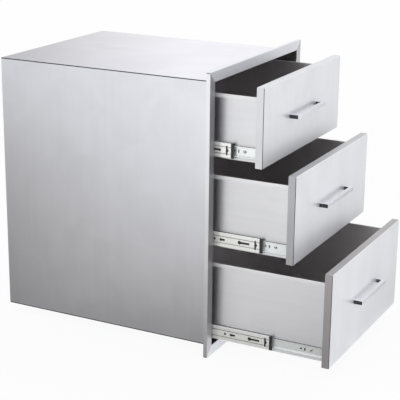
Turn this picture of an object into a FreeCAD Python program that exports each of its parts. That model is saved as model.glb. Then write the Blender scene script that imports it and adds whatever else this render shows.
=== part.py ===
"""Outdoor kitchen drawer unit, made of folded stainless sheet.

A cabinet with a mitred trim frame drops into a cut-out in the front of an island. Three
drawers run in it on ball-bearing slides of three nested channels each. Lengths are in
millimetres.

X points to the right, Y to the rear and Z up. X is 0 on the middle plane, Y is 0 on the
face of the island that the trim frame bears on, and Z is 0 at the foot of the trim frame.
The drawers stand open by different lengths, so each is placed by its own opening.
"""
import FreeCAD
import Part
import Sketcher
import math
import os
from types import SimpleNamespace

SIZES = (
    ("trim_width", 450.0, "trim frame over its outer edges"),
    ("trim_height", 600.0, "trim frame over its outer edges"),
    ("trim_overhang", 20.0, "trim frame beyond the cabinet on every side"),
    ("trim_lip", 8.5, "return lip, from the trim's front plane to the island"),
    ("sheet", 1.0, "thickness of every folded sheet"),
    ("seam_gap", 1.0, "open seams of the cabinet and the trim's corners"),
    ("seam_start", 10.0, "end of the welded stretch behind the trim"),
    ("fold_width", 10.0, "spot-welded folds inside the cabinet and the boxes"),
    ("fold_relief", 1.5, "room between a fold and the next sheet"),
    ("front_depth", 16.0, "drawer front, from its face to its back"),
    ("edge_gap", 2.0, "drawer front to the trim's opening"),
    ("between_gap", 5.5, "one drawer front to the next"),
    ("top_front_height", 162.0, "front of the top drawer"),
    ("centre_front_height", 182.0, "front of the centre drawer"),
    ("front_bend", 1.5, "outside bend radius round a drawer front"),
    ("box_rise", 8.0, "box floor above the foot of its front"),
    ("box_drop", 22.0, "box rim below the head of its front"),
    ("box_bend", 1.5, "outside bend radius along the box floor"),
    ("hem_height", 8.0, "rolled hem along the rim of a box"),
    ("hem_lap", 1.0, "how far the hem stands out of the box side"),
    ("slide_length", 450.0, "closed ball-bearing slide"),
    ("slide_space", 12.7, "cabinet wall to box side, filled by a slide"),
    ("slide_setback", 2.0, "back of a drawer front to the slide's front end"),
    ("slide_rear_room", 41.0, "slide's rear end to the back of the cabinet"),
    ("slide_rise", 20.0, "slide axis above the box floor"),
    ("slide_wall", 1.0, "rolled steel of the slide members"),
    ("drawer_member_height", 21.6, "narrowest of the three nested channels"),
    ("drawer_member_tip", 7.2, "cabinet wall to the drawer member's flange tips"),
    ("middle_web", 4.2, "cabinet wall to the web of the middle member"),
    ("middle_rear_gap", 10.0, "middle member short of the slide's rear end"),
    ("web_groove_rise", 7.0, "slide axis to the grooves along the middle member's web"),
    ("web_groove_width", 1.4, "grooves along the middle member's web"),
    ("web_groove_depth", 0.4, "grooves along the middle member's web"),
    ("race_offset", 8.8, "cabinet wall to the ball centres"),
    ("ball_diameter", 3.0, "bearing balls"),
    ("ball_room", 0.25, "ball to raceway"),
    ("cage_sheet", 0.5, "sheet of the ball cages"),
    ("cage_length", 100.0, "ball cage along the slide"),
    ("cage_reach", 2.2, "cage flange beyond the ball centres"),
    ("ball_pitch", 40.0, "one ball to the next"),
    ("ball_hole_room", 0.1, "ball to the rim of its hole in the cage"),
    ("outer_cage_web", 2.9, "cabinet wall to the outer cage"),
    ("inner_cage_web", 6.3, "cabinet wall to the inner cage"),
    ("stop_nose", 6.0, "moulded stop ahead of the middle member"),
    ("stop_wall", 1.7, "thickness of the moulded stop"),
    ("stop_tongue", 0.6, "thickness of the tongue behind the web"),
    ("stop_room", 0.05, "moulded stop to the steel round it"),
    ("stop_button_start", 13.5, "stop's front end to its button"),
    ("stop_button_length", 3.5, "button along the slide"),
    ("stop_button_height", 19.0, "button up the web"),
    ("stop_point_reach", 3.0, "point of the button ahead of its straight edge"),
    ("stop_notch_start", 4.5, "slide axis to the notches in the stop's front"),
    ("stop_notch_height", 4.5, "notches in the stop's front"),
    ("stop_notch_depth", 1.5, "notches in the stop's front"),
    ("stop_point_height", 9.0, "point of the button where it leaves the edge"),
    ("stop_tongue_length", 14.0, "tongue behind the nose"),
    ("key_hole_start", 50.0, "front end to the round of the key slot"),
    ("key_hole_width", 8.0, "round of the key slot"),
    ("key_slot_length", 22.0, "narrow run of the key slot"),
    ("key_slot_width", 4.4, "narrow run of the key slot"),
    ("short_hole_start", 92.0, "front end to the round of the short slot"),
    ("short_hole_width", 6.0, "round of the short slot"),
    ("short_slot_length", 9.0, "narrow run of the short slot"),
    ("fixing_hole_start", 106.0, "front end to the first fixing hole"),
    ("fixing_hole_width", 5.0, "fixing holes in the slide webs"),
    ("rivet_start", 25.0, "slide's front end to the first rivet"),
    ("rivet_end", 45.0, "last rivet to the slide's rear end"),
    ("rivet_shank", 4.0, "rivet through the drawer member and the box"),
    ("rivet_head", 7.0, "rivet heads"),
    ("rivet_head_height", 1.2, "rivet heads"),
    ("rivet_bore", 2.2, "bore that the pulled pin leaves in a rivet"),
    ("rivet_bore_depth", 2.0, "bore that the pulled pin leaves in a rivet"),
    ("rivet_room", 0.1, "rivet to the rim of its hole"),
    ("tab_slot_start", 37.0, "slide's front end to the upright slot"),
    ("tab_slot_width", 3.0, "upright slot in the drawer member"),
    ("tab_slot_height", 7.0, "upright slot in the drawer member"),
    ("spare_hole_start", 47.0, "slide's front end to the spare hole"),
    ("spare_hole_width", 4.5, "spare hole in the drawer member"),
    ("handle_length", 148.0, "handle over its ends"),
    ("handle_bar", 8.0, "square section of the handle"),
    ("handle_reach", 19.0, "handle in front of its drawer"),
    ("handle_bend", 1.5, "corner radius of the handle"),
    ("handle_screw", 4.0, "shank of a handle screw"),
    ("handle_screw_grip", 9.0, "screw inside the handle's leg"),
    ("handle_screw_head", 8.0, "head of a handle screw"),
    ("handle_screw_head_height", 2.6, "head of a handle screw"),
    ("handle_screw_room", 0.05, "shank to the thread in the handle"),
    ("handle_hole_room", 0.25, "shank to the holes in the sheets"),
    ("top_open", 105.0, "top drawer pulled out"),
    ("centre_open", 177.0, "centre drawer pulled out"),
    ("bottom_open", 261.0, "bottom drawer pulled out"),
)

TRAVEL_SHARE = {"top": 0.56, "centre": 0.71, "bottom": 0.585}
BALLS_PER_ROW = 3
RIVETS_PER_SIDE = 3
RACE_WRAP = math.radians(60.0)
HANDS = {"left": -1, "right": 1}


class Size:
    """A length, held as its number and as the expression on the sheet that gives it."""

    def __init__(self, value, text):
        self.value = value
        self.text = text

    def __add__(self, other):
        other = as_size(other)
        return Size(self.value + other.value, f"({self.text} + {other.text})")

    def __sub__(self, other):
        other = as_size(other)
        return Size(self.value - other.value, f"({self.text} - {other.text})")

    def __mul__(self, factor):
        return Size(self.value * factor, f"({self.text} * {factor})")

    def __truediv__(self, factor):
        return Size(self.value / factor, f"({self.text} / {factor})")

    def __neg__(self):
        return Size(-self.value, f"(-{self.text})")

    __radd__ = __add__
    __rmul__ = __mul__

    def __rsub__(self, other):
        return as_size(other) - self


def as_size(value):
    """Lets a plain number stand where a size is wanted."""
    if isinstance(value, Size):
        return value
    return Size(float(value), f"({float(value)})")


doc = FreeCAD.newDocument("drawer_unit")
sheet = doc.addObject("Spreadsheet::Sheet", "Sizes")
for row, (alias, value, note) in enumerate(SIZES, start=1):
    sheet.set(f"A{row}", note)
    sheet.set(f"B{row}", str(value))
    sheet.setAlias(f"B{row}", alias)
doc.recompute()

s = SimpleNamespace(**{alias: Size(value, f"Sizes.{alias}") for alias, value, note in SIZES})


def bind(thing, path, length):
    """Ties one property of an object to the sheet."""
    thing.setExpression(path, as_size(length).text)


# Sizes that follow from those on the sheet
cabinet_half = s.trim_width / 2 - s.trim_overhang
inner_half = cabinet_half - s.sheet
cabinet_foot = s.trim_overhang
cabinet_head = s.trim_height - s.trim_overhang
opening_height = cabinet_head - cabinet_foot - s.sheet * 2
trim_front = -s.trim_lip
sheet_front = trim_front + s.sheet
front_half = inner_half - s.edge_gap
bottom_front_height = (opening_height - s.edge_gap * 2 - s.between_gap * 2
                       - s.top_front_height - s.centre_front_height)
box_half = inner_half - s.slide_space
slide_front = trim_front + s.front_depth + s.slide_setback
cabinet_rear = slide_front + s.slide_length + s.slide_rear_room + s.sheet
box_rear = s.front_depth + s.slide_length
rivet_pitch = (s.slide_length - s.rivet_start - s.rivet_end) / (RIVETS_PER_SIDE - 1)
cage_start = (s.slide_length - s.middle_rear_gap - s.cage_length) / 2
race_inside = s.ball_diameter / 2 + s.ball_room
race_outside = race_inside + s.slide_wall
drawer_member_half = s.drawer_member_height / 2
inner_ball_height = drawer_member_half + race_inside
middle_member_half = inner_ball_height + race_outside
outer_ball_height = middle_member_half + race_inside
cabinet_member_half = outer_ball_height + race_outside
handle_pitch = s.handle_length - s.handle_bar


class Piece:
    """One piece of the unit: a body, built by padding and cutting outlines."""

    made = []

    def __init__(self, label, y=0, z=0):
        self.body = doc.addObject("PartDesign::Body", label)
        self.body.Label = label
        self.count = 0
        bind(self.body, ".Placement.Base.y", y)
        bind(self.body, ".Placement.Base.z", z)
        Piece.made.append(self.body)

    def name(self, word):
        """A feature name that says which piece it belongs to."""
        self.count += 1
        return f"{self.body.Name}_{word}_{self.count}"

    def datum(self, role):
        """One of the body's own origin planes or axes."""
        return next(part for part in self.body.Origin.OriginFeatures if part.Role == role)

    def sketch(self, role, offset, across=0, up=0):
        """An empty sketch on an origin plane, moved along its normal and within it."""
        drawing = self.body.newObject("Sketcher::SketchObject", self.name("outline"))
        drawing.AttachmentSupport = [(self.datum(role), "")]
        drawing.MapMode = "FlatFace"
        bind(drawing, ".AttachmentOffset.Base.x", across)
        bind(drawing, ".AttachmentOffset.Base.y", up)
        bind(drawing, ".AttachmentOffset.Base.z", offset)
        return drawing

    def pad(self, role, loops, low, high):
        """Adds sheet or bar between two stations along the plane's normal."""
        low, high = in_order(low, high)
        drawing = self.sketch(role, -high if role == "XZ_Plane" else low)
        draw_loops(drawing, loops)
        feature = self.body.newObject("PartDesign::Pad", self.name("pad"))
        feature.Profile = drawing
        drawing.Visibility = False
        bind(feature, "Length", high - low)
        doc.recompute()
        return feature

    def cut(self, role, loops, low, high):
        """Takes material away between two stations along the plane's normal."""
        low, high = in_order(low, high)
        before = self.body.Shape.Volume
        drawing = self.sketch(role, -low if role == "XZ_Plane" else high)
        draw_loops(drawing, loops)
        feature = self.body.newObject("PartDesign::Pocket", self.name("cut"))
        feature.Profile = drawing
        drawing.Visibility = False
        bind(feature, "Length", high - low)
        doc.recompute()
        if self.body.Shape.Volume >= before:
            raise RuntimeError(f"{feature.Name} took nothing away")
        return feature

    def turn(self, loops, offset, across, up, axis):
        """Turns a half profile about one axis of its own sketch."""
        drawing = self.sketch("XY_Plane", offset, across, up)
        draw_loops(drawing, loops)
        feature = self.body.newObject("PartDesign::Revolution", self.name("turn"))
        feature.Profile = drawing
        feature.ReferenceAxis = (drawing, [axis])
        feature.Angle = 360
        doc.recompute()
        return feature

    def mirror(self, features, role="YZ_Plane"):
        """Repeats features on the other side of an origin plane."""
        return self.repeat(features, planes=(role,))

    def repeat(self, features, planes=(), count=1, pitch=None):
        """Repeats features along Y, then across origin planes."""
        group = self.body.newObject("PartDesign::MultiTransform", self.name("group"))
        steps = []
        if count > 1:
            row = self.body.newObject("PartDesign::LinearPattern", self.name("row"))
            row.Direction = (self.datum("Y_Axis"), [""])
            row.Occurrences = count
            bind(row, "Length", pitch * (count - 1))
            steps.append(row)
        for role in planes:
            copy = self.body.newObject("PartDesign::Mirrored", self.name("mirror"))
            copy.MirrorPlane = (self.datum(role), [""])
            steps.append(copy)
        group.Originals = features
        group.Transformations = steps
        self.body.Tip = group
        doc.recompute()
        return group

    def round_edges(self, radius, wanted):
        """Rounds the straight edges whose two ends both pass the test."""
        base = self.body.Tip
        names = []
        for number, edge in enumerate(base.Shape.Edges, start=1):
            ends = [vertex.Point for vertex in edge.Vertexes]
            if len(ends) == 2 and all(wanted(point) for point in ends):
                names.append(f"Edge{number}")
        feature = self.body.newObject("PartDesign::Fillet", self.name("bend"))
        feature.Base = (base, names)
        bind(feature, "Radius", radius)
        doc.recompute()
        return feature


def in_order(one, other):
    """The two stations, lower one first."""
    one, other = as_size(one), as_size(other)
    return (one, other) if one.value <= other.value else (other, one)


def vector(point):
    return FreeCAD.Vector(as_size(point[0]).value, as_size(point[1]).value, 0)


def hold(drawing, kind, edge, end, length):
    """Holds one coordinate of a sketch point at a size of the sheet."""
    length = as_size(length)
    number = drawing.addConstraint(
        Sketcher.Constraint(kind, -1, 1, edge, end, length.value))
    drawing.setExpression(f"Constraints[{number}]", length.text)


def hold_point(drawing, edge, end, point):
    hold(drawing, "DistanceX", edge, end, point[0])
    hold(drawing, "DistanceY", edge, end, point[1])


def draw_circle(drawing, centre, diameter):
    radius = as_size(diameter) / 2
    circle = Part.Circle(vector(centre), FreeCAD.Vector(0, 0, 1), radius.value)
    edge = drawing.addGeometry(circle, False)
    hold_point(drawing, edge, 3, centre)
    number = drawing.addConstraint(Sketcher.Constraint("Radius", edge, radius.value))
    drawing.setExpression(f"Constraints[{number}]", radius.text)


def draw_arc(drawing, start, end, centre):
    """An arc the short way round; gives its edge and which ends start and finish it."""
    middle = vector(centre)
    first = vector(start) - middle
    last = vector(end) - middle
    first_angle = math.atan2(first.y, first.x)
    last_angle = math.atan2(last.y, last.x)
    turn = (last_angle - first_angle) % (2 * math.pi)
    circle = Part.Circle(middle, FreeCAD.Vector(0, 0, 1), first.Length)
    if turn < math.pi:
        arc = Part.ArcOfCircle(circle, first_angle, first_angle + turn)
        ends = (1, 2)
    else:
        arc = Part.ArcOfCircle(circle, last_angle, last_angle + 2 * math.pi - turn)
        ends = (2, 1)
    edge = drawing.addGeometry(arc, False)
    hold_point(drawing, edge, 3, centre)
    steep = abs(last.y) > abs(last.x)
    return edge, ends, "DistanceX" if steep else "DistanceY", end[0] if steep else end[1]


def draw_loop(drawing, corners):
    """A closed outline. A corner is a point, or a point and the centre of the arc to it."""
    start = corners[0]
    here = start
    joints = []
    for step in list(corners[1:]) + [start]:
        if len(step) == 3:
            edge, ends, kind, length = draw_arc(drawing, here, step[:2], step[2])
        else:
            line = Part.LineSegment(vector(here), vector(step))
            edge = drawing.addGeometry(line, False)
            ends = (1, 2)
        if joints:
            drawing.addConstraint(
                Sketcher.Constraint("Coincident", *joints[-1][1], edge, ends[0]))
        else:
            hold_point(drawing, edge, ends[0], start)
        joints.append(((edge, ends[0]), (edge, ends[1])))
        if len(step) == 3:
            hold(drawing, kind, edge, ends[1], length)
        elif step is not start:
            hold_point(drawing, edge, ends[1], step)
        here = step[:2]
    drawing.addConstraint(
        Sketcher.Constraint("Coincident", *joints[-1][1], *joints[0][0]))


def draw_loops(drawing, loops):
    """Draws each loop: a list of corners, or a tuple of a centre and a diameter."""
    for loop in loops:
        if isinstance(loop, tuple):
            draw_circle(drawing, *loop)
        else:
            draw_loop(drawing, loop)


def box(left, foot, right, head):
    """The four corners of an upright rectangle."""
    return [(left, foot), (left, head), (right, head), (right, foot)]


def trim_corner(side, end, inset, drop=None):
    """A corner of the trim frame, or a point set in from it sideways and up or down."""
    drop = inset if drop is None else drop
    height = s.trim_height - drop if end > 0 else as_size(drop)
    return ((s.trim_width / 2 - inset) * side, height)


def trim_member(label, one, other):
    """A mitred length of the trim frame between two of its corners, with its return lip.

    The lips of the rails run the whole width, and those of the stiles stop under them, so
    each corner has an open seam.
    """
    piece = Piece(label)
    face = s.trim_overhang + s.sheet
    outline = [trim_corner(*one, 0), trim_corner(*other, 0),
               trim_corner(*other, face), trim_corner(*one, face)]
    piece.pad("XZ_Plane", [outline], trim_front, sheet_front)
    lip = s.sheet
    if one[1] == other[1]:
        outline = [trim_corner(*one, 0), trim_corner(*other, 0),
                   trim_corner(*other, 0, lip), trim_corner(*one, 0, lip)]
    else:
        end = lip + s.seam_gap
        outline = [trim_corner(*one, 0, end), trim_corner(*other, 0, end),
                   trim_corner(*other, lip, end), trim_corner(*one, lip, end)]
    piece.pad("XZ_Plane", [outline], sheet_front, 0)


def cabinet_side(hand, side):
    """A side of the cabinet. Behind the weld its long edges stop short, as open seams."""
    foot = cabinet_foot + s.sheet
    head = cabinet_head - s.sheet
    outline = [
        (sheet_front, foot), (s.seam_start, foot), (s.seam_start, foot + s.seam_gap),
        (cabinet_rear, foot + s.seam_gap), (cabinet_rear, head - s.seam_gap),
        (s.seam_start, head - s.seam_gap), (s.seam_start, head), (sheet_front, head),
    ]
    piece = Piece(f"cabinet_{hand}_side")
    piece.pad("YZ_Plane", [outline], inner_half * side, cabinet_half * side)


def cabinet_lid(label, outside, inward):
    """The top or the floor of the cabinet, with a fold down or up inside each side."""
    piece = Piece(label)
    inside = outside + s.sheet * inward
    plate = box(-cabinet_half, sheet_front, cabinet_half, cabinet_rear)
    piece.pad("XY_Plane", [plate], outside, inside)
    fold_rear = cabinet_rear - s.sheet - s.fold_width - s.fold_relief
    fold = box(s.seam_start, inside, fold_rear, outside + s.fold_width * inward)
    feature = piece.pad("YZ_Plane", [fold], inner_half - s.sheet, inner_half)
    piece.mirror([feature])


def cabinet_back():
    """The back of the cabinet, set between the other four sheets."""
    piece = Piece("cabinet_back")
    foot = cabinet_foot + s.sheet
    head = cabinet_head - s.sheet
    inside = cabinet_rear - s.sheet
    piece.pad("XZ_Plane", [box(-inner_half, foot, inner_half, head)], inside, cabinet_rear)
    fold = box(inside - s.fold_width, foot + s.fold_relief, inside, head - s.fold_relief)
    feature = piece.pad("YZ_Plane", [fold], inner_half - s.sheet, inner_half)
    piece.mirror([feature])


def from_wall(side, depth):
    """X of a point a given depth in from a cabinet wall."""
    return (inner_half - depth) * side


def channel(side, web, half):
    """A channel open towards the drawer, its flanges rolled over the balls they carry."""
    corner = half - s.slide_wall
    race = half - race_outside
    outer = (race_outside * math.sin(RACE_WRAP), race_outside * math.cos(RACE_WRAP))
    inner = (race_inside * math.sin(RACE_WRAP), race_inside * math.cos(RACE_WRAP))

    def at(depth, height):
        return (from_wall(side, depth), height)

    back = at(web, 0)[0]
    inside = at(web + s.slide_wall, 0)[0]
    balls = at(s.race_offset, 0)[0]
    outer_tip = at(s.race_offset + outer[0], 0)[0]
    inner_tip = at(s.race_offset + inner[0], 0)[0]
    return [
        (back, corner),
        (inside, half, (inside, corner)),
        (balls, half),
        (outer_tip, race + outer[1], (balls, race)),
        (inner_tip, race + inner[1]),
        (balls, corner, (balls, race)),
        (inside, corner),
        (inside, -corner),
        (balls, -corner),
        (inner_tip, -(race + inner[1]), (balls, -race)),
        (outer_tip, -(race + outer[1])),
        (balls, -half, (balls, -race)),
        (inside, -half),
        (back, -corner, (inside, -corner)),
    ]


def reversed_channel(side):
    """The narrow channel on the drawer, open towards the cabinet wall."""
    half = drawer_member_half
    corner = half - s.slide_wall
    back = from_wall(side, s.slide_space)
    inside = from_wall(side, s.slide_space - s.slide_wall)
    tip = from_wall(side, s.drawer_member_tip)
    return [
        (back, corner),
        (inside, half, (inside, corner)),
        (tip, half),
        (tip, corner),
        (inside, corner),
        (inside, -corner),
        (tip, -corner),
        (tip, -half),
        (inside, -half),
        (back, -corner, (inside, -corner)),
    ]


def slot(start, end, width):
    """A slot along Y with square ends, level with the slide's axis."""
    return box(start, -width / 2, end, width / 2)


def cabinet_member(level, hand, side):
    """The wide channel of a slide, fixed to the cabinet."""
    piece = Piece(f"{level.name}_slide_{hand}_cabinet_member", slide_front, level.axis)
    piece.pad("XZ_Plane", [channel(side, as_size(0), cabinet_member_half)],
              0, s.slide_length)
    holes = [((s.fixing_hole_start, 0), s.fixing_hole_width),
             ((s.slide_length - s.fixing_hole_start, 0), s.fixing_hole_width)]
    piece.cut("YZ_Plane", holes, from_wall(side, 0), from_wall(side, s.slide_wall))


def button_outline(room):
    """The button of a front stop, with a point towards the front, and room all round."""
    rear = s.stop_button_start + s.stop_button_length + room
    edge = s.stop_button_start - room
    half = s.stop_button_height / 2 + room
    point = s.stop_point_height / 2 + room
    return [(rear, -half), (rear, half), (edge, half), (edge, point),
            (edge - s.stop_point_reach - room, 0), (edge, -point), (edge, -half)]


def middle_member(level, hand, side):
    """The middle channel of a slide, with its key slots and the window for its stop."""
    front = slide_front - level.middle_travel
    piece = Piece(f"{level.name}_slide_{hand}_middle_member", front, level.axis)
    piece.pad("XZ_Plane", [channel(side, s.middle_web, middle_member_half)],
              s.stop_nose, s.slide_length - s.middle_rear_gap)
    web = (from_wall(side, s.middle_web), from_wall(side, s.middle_web + s.slide_wall))
    rounds = [
        ((s.key_hole_start, 0), s.key_hole_width),
        ((s.short_hole_start, 0), s.short_hole_width),
        ((s.fixing_hole_start, 0), s.fixing_hole_width),
        ((s.slide_length - s.fixing_hole_start, 0), s.fixing_hole_width),
        button_outline(s.stop_room),
    ]
    piece.cut("YZ_Plane", rounds, *web)
    slots = [
        slot(s.key_hole_start - s.key_slot_length, s.key_hole_start, s.key_slot_width),
        slot(s.short_hole_start - s.short_slot_length, s.short_hole_start,
             s.key_slot_width),
    ]
    piece.cut("YZ_Plane", slots, *web)
    groove_floor = from_wall(side, s.middle_web + s.web_groove_depth)
    grooves = [box(web[0], height - s.web_groove_width / 2,
                   groove_floor, height + s.web_groove_width / 2)
               for height in (s.web_groove_rise, -s.web_groove_rise)]
    piece.cut("XZ_Plane", grooves, s.stop_nose, s.slide_length - s.middle_rear_gap)


def drawer_member(level, hand, side):
    """The narrow channel of a slide, riveted to the box side."""
    front = slide_front - level.opened
    piece = Piece(f"{level.name}_slide_{hand}_drawer_member", front, level.axis)
    piece.pad("XZ_Plane", [reversed_channel(side)], 0, s.slide_length)
    holes = [((s.rivet_start + rivet_pitch * number, 0), s.rivet_shank + s.rivet_room * 2)
             for number in range(RIVETS_PER_SIDE)]
    half_tab = s.tab_slot_height / 2
    holes.append(box(s.tab_slot_start, -half_tab,
                     s.tab_slot_start + s.tab_slot_width, half_tab))
    holes.append(((s.spare_hole_start, 0), s.spare_hole_width))
    piece.cut("YZ_Plane", holes, from_wall(side, s.slide_space),
              from_wall(side, s.slide_space - s.slide_wall))


def front_stops(level):
    """The moulded stops in the front ends of a pair of middle members."""
    front = slide_front - level.middle_travel
    piece = Piece(f"{level.name}_slide_front_stops", front, level.axis)
    face = from_wall(1, s.middle_web)
    behind = from_wall(1, s.middle_web + s.slide_wall + s.stop_room)
    back = from_wall(1, s.middle_web + s.slide_wall + s.stop_room + s.stop_tongue)
    tip = from_wall(1, s.race_offset)
    half = middle_member_half
    inside = half - s.stop_wall
    nose = [(face, -half), (face, half), (tip, half), (tip, inside), (back, inside),
            (back, -inside), (tip, -inside), (tip, -half)]
    half_button = s.stop_button_height / 2
    tongue_end = s.stop_nose + s.stop_tongue_length
    near = s.stop_notch_start
    far = near + s.stop_notch_height
    depth = s.stop_notch_depth
    notches = [[(0, rise * near), (depth, rise * (near + depth)),
                (depth, rise * (far - depth)), (0, rise * far)] for rise in (1, -1)]
    features = [
        piece.pad("XZ_Plane", [nose], 0, s.stop_nose),
        piece.cut("YZ_Plane", notches, back, tip),
        piece.pad("XZ_Plane", [box(back, -half_button, behind, half_button)],
                  s.stop_nose, tongue_end),
        piece.pad("YZ_Plane", [button_outline(as_size(0))], behind, face),
    ]
    piece.mirror(features)


def ball_cages(label, front, axis, web, height):
    """A pair of cages, each bent round its slide, with a row of balls above and below."""
    piece = Piece(label, front, axis)
    back = from_wall(1, web)
    inside = from_wall(1, web + s.cage_sheet)
    tip = from_wall(1, s.race_offset + s.cage_reach)
    outside = height + s.cage_sheet / 2
    under = height - s.cage_sheet / 2
    section = [(back, -outside), (back, outside), (tip, outside), (tip, under),
               (inside, under), (inside, -under), (tip, -under), (tip, -outside)]
    strip = piece.pad("XZ_Plane", [section], 0, s.cage_length)
    balls = from_wall(1, s.race_offset)
    row_start = (s.cage_length - s.ball_pitch * (BALLS_PER_ROW - 1)) / 2
    holes = [((balls, row_start + s.ball_pitch * number),
              s.ball_diameter + s.ball_hole_room * 2) for number in range(BALLS_PER_ROW)]
    pierced = piece.cut("XY_Plane", holes, -outside, outside)
    piece.mirror([strip, pierced])
    radius = s.ball_diameter / 2
    half_disc = [(0, -radius), (radius, 0, (0, 0)), (0, radius, (0, 0))]
    ball = piece.turn([half_disc], height, balls, row_start, "V_Axis")
    piece.repeat([ball], ("XY_Plane", "YZ_Plane"), BALLS_PER_ROW, s.ball_pitch)


def rivets(level):
    """The rivets that hold the drawer members to the box sides."""
    piece = Piece(f"{level.name}_slide_rivets", slide_front - level.opened, level.axis)
    channel_face = from_wall(1, s.slide_space - s.slide_wall)
    box_face = from_wall(1, s.slide_space + s.sheet)
    shank = s.rivet_shank / 2
    head = s.rivet_head / 2
    crown = head / 2
    crown_face = channel_face + s.rivet_head_height
    bore = s.rivet_bore / 2
    bore_floor = crown_face - s.rivet_bore_depth
    profile = [
        (box_face - s.rivet_head_height, 0), (box_face - s.rivet_head_height, crown),
        (box_face, head), (box_face, shank), (channel_face, shank), (channel_face, head),
        (crown_face, crown), (crown_face, bore), (bore_floor, bore), (bore_floor, 0),
    ]
    rivet = piece.turn([profile], 0, 0, s.rivet_start, "H_Axis")
    piece.repeat([rivet], ("YZ_Plane",), RIVETS_PER_SIDE, rivet_pitch)


def drawer_box(level):
    """The floor and sides of a drawer box, folded from one sheet with a rolled rim."""
    piece = Piece(f"{level.name}_drawer_box", level.front, level.floor)
    rim = level.box_height
    bead = (s.sheet + s.hem_lap) / 2
    low, high = s.box_bend, rim - bead

    def flank(side):
        """One side of the section, from the floor's underside round to its upper face."""
        wall = box_half * side
        inner = (box_half - s.sheet) * side
        bend = (box_half - s.box_bend) * side
        out = (box_half + s.hem_lap) * side
        top = (box_half + s.hem_lap - bead) * side
        return [
            (bend, 0), (wall, low, (bend, low)), (wall, rim - s.hem_height),
            (out, rim - s.hem_height), (out, high), (top, rim, (top, high)),
            (inner, high, (top, high)), (inner, low), (bend, s.sheet, (bend, low)),
        ]

    section = flank(-1) + backwards(flank(1))
    front = s.front_depth
    piece.pad("XZ_Plane", [section], front, box_rear)
    holes = [((front + s.slide_setback + s.rivet_start + rivet_pitch * number,
               s.slide_rise), s.rivet_shank + s.rivet_room * 2)
             for number in range(RIVETS_PER_SIDE)]
    piece.cut("YZ_Plane", holes, -box_half - s.sheet, box_half + s.sheet)


def backwards(corners):
    """The same outline run the other way, with each arc's centre moved to its new end."""
    turned = []
    for number in range(len(corners) - 1, -1, -1):
        after = corners[number + 1] if number + 1 < len(corners) else ()
        centre = after[2:] if len(after) == 3 else ()
        turned.append(tuple(corners[number][:2]) + tuple(centre))
    return turned


def box_back(level):
    """The back of a drawer box, with a fold to the rear inside each side."""
    piece = Piece(f"{level.name}_drawer_box_back", level.front, level.floor)
    face = box_rear - s.fold_width
    side = box_half - s.sheet
    bend = box_half - s.box_bend
    head = level.box_height - s.fold_relief
    plate = [(-bend, s.sheet), (-side, s.box_bend), (-side, head), (side, head),
             (side, s.box_bend), (bend, s.sheet)]
    piece.pad("XZ_Plane", [plate], face, face + s.sheet)
    fold = box(face + s.sheet, s.box_bend + s.fold_relief, box_rear, head)
    feature = piece.pad("YZ_Plane", [fold], side - s.sheet, side)
    piece.mirror([feature])


def screw_holes(level, diameter):
    """The pair of round holes that the handle's screws pass through."""
    return [((handle_pitch / 2 * side, level.height / 2), diameter) for side in (-1, 1)]


def drawer_front(level):
    """The visible front of a drawer: a shallow pan, open to the rear."""
    piece = Piece(f"{level.name}_drawer_front", level.front, level.foot)
    piece.pad("XZ_Plane", [box(-front_half, 0, front_half, level.height)],
              0, s.front_depth)
    piece.cut("XZ_Plane", [box(-front_half + s.sheet, s.sheet, front_half - s.sheet,
                               level.height - s.sheet)], s.sheet, s.front_depth)
    piece.round_edges(s.front_bend, lambda point: abs(point.y) < s.sheet.value / 2)
    piece.cut("XZ_Plane", screw_holes(level, s.handle_screw + s.handle_hole_room * 2),
              0, s.sheet)


def inner_front(level):
    """The sheet that closes the pan and that the box is welded to."""
    piece = Piece(f"{level.name}_drawer_inner_front", level.front, level.foot)
    piece.pad("XZ_Plane", [box(-front_half + s.sheet, s.sheet, front_half - s.sheet,
                               level.height - s.sheet)],
              s.front_depth - s.sheet, s.front_depth)
    piece.cut("XZ_Plane", screw_holes(level, s.handle_screw + s.handle_hole_room * 2),
              s.front_depth - s.sheet, s.front_depth)


def handle(level):
    """A square bar handle with two legs, drilled for its screws."""
    piece = Piece(f"{level.name}_drawer_handle", level.front, level.foot)
    half = s.handle_length / 2
    inner = half - s.handle_bar
    nose = -s.handle_reach
    bend = s.handle_bend
    outline = [
        (-half, 0), (-half, nose + bend),
        (-half + bend, nose, (-half + bend, nose + bend)), (half - bend, nose),
        (half, nose + bend, (half - bend, nose + bend)), (half, 0), (inner, 0),
        (inner, nose + s.handle_bar), (-inner, nose + s.handle_bar), (-inner, 0),
    ]
    middle = level.height / 2
    piece.pad("XY_Plane", [outline], middle - s.handle_bar / 2, middle + s.handle_bar / 2)
    holes = screw_holes(level, s.handle_screw + s.handle_screw_room * 2)
    piece.cut("XZ_Plane", holes, -s.handle_screw_grip - s.handle_screw_room, 0)


def handle_screws(level):
    """The screws that hold a handle, put in from inside the box."""
    piece = Piece(f"{level.name}_drawer_handle_screws", level.front, level.foot)
    shank = s.handle_screw / 2
    head = s.handle_screw_head / 2
    seat = s.front_depth
    crown = seat + s.handle_screw_head_height
    profile = [
        (0, -s.handle_screw_grip), (shank, -s.handle_screw_grip), (shank, seat),
        (head, seat), (head, seat + s.handle_screw_head_height / 2),
        (head * 0.6, crown), (0, crown),
    ]
    screw = piece.turn([profile], level.height / 2, handle_pitch / 2, 0, "V_Axis")
    piece.mirror([screw])


class Level:
    """One drawer's place in the cabinet and how far it stands open."""

    def __init__(self, name, foot, height, opened):
        self.name = name
        self.foot = foot
        self.height = height
        self.opened = opened
        self.front = trim_front - opened
        self.floor = foot + s.box_rise
        self.box_height = height - s.box_rise - s.box_drop
        self.axis = self.floor + s.slide_rise
        share = TRAVEL_SHARE[name]
        self.middle_travel = opened * share
        self.outer_cage_travel = opened * (share / 2)
        self.inner_cage_travel = opened * ((1 + share) / 2)


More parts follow.
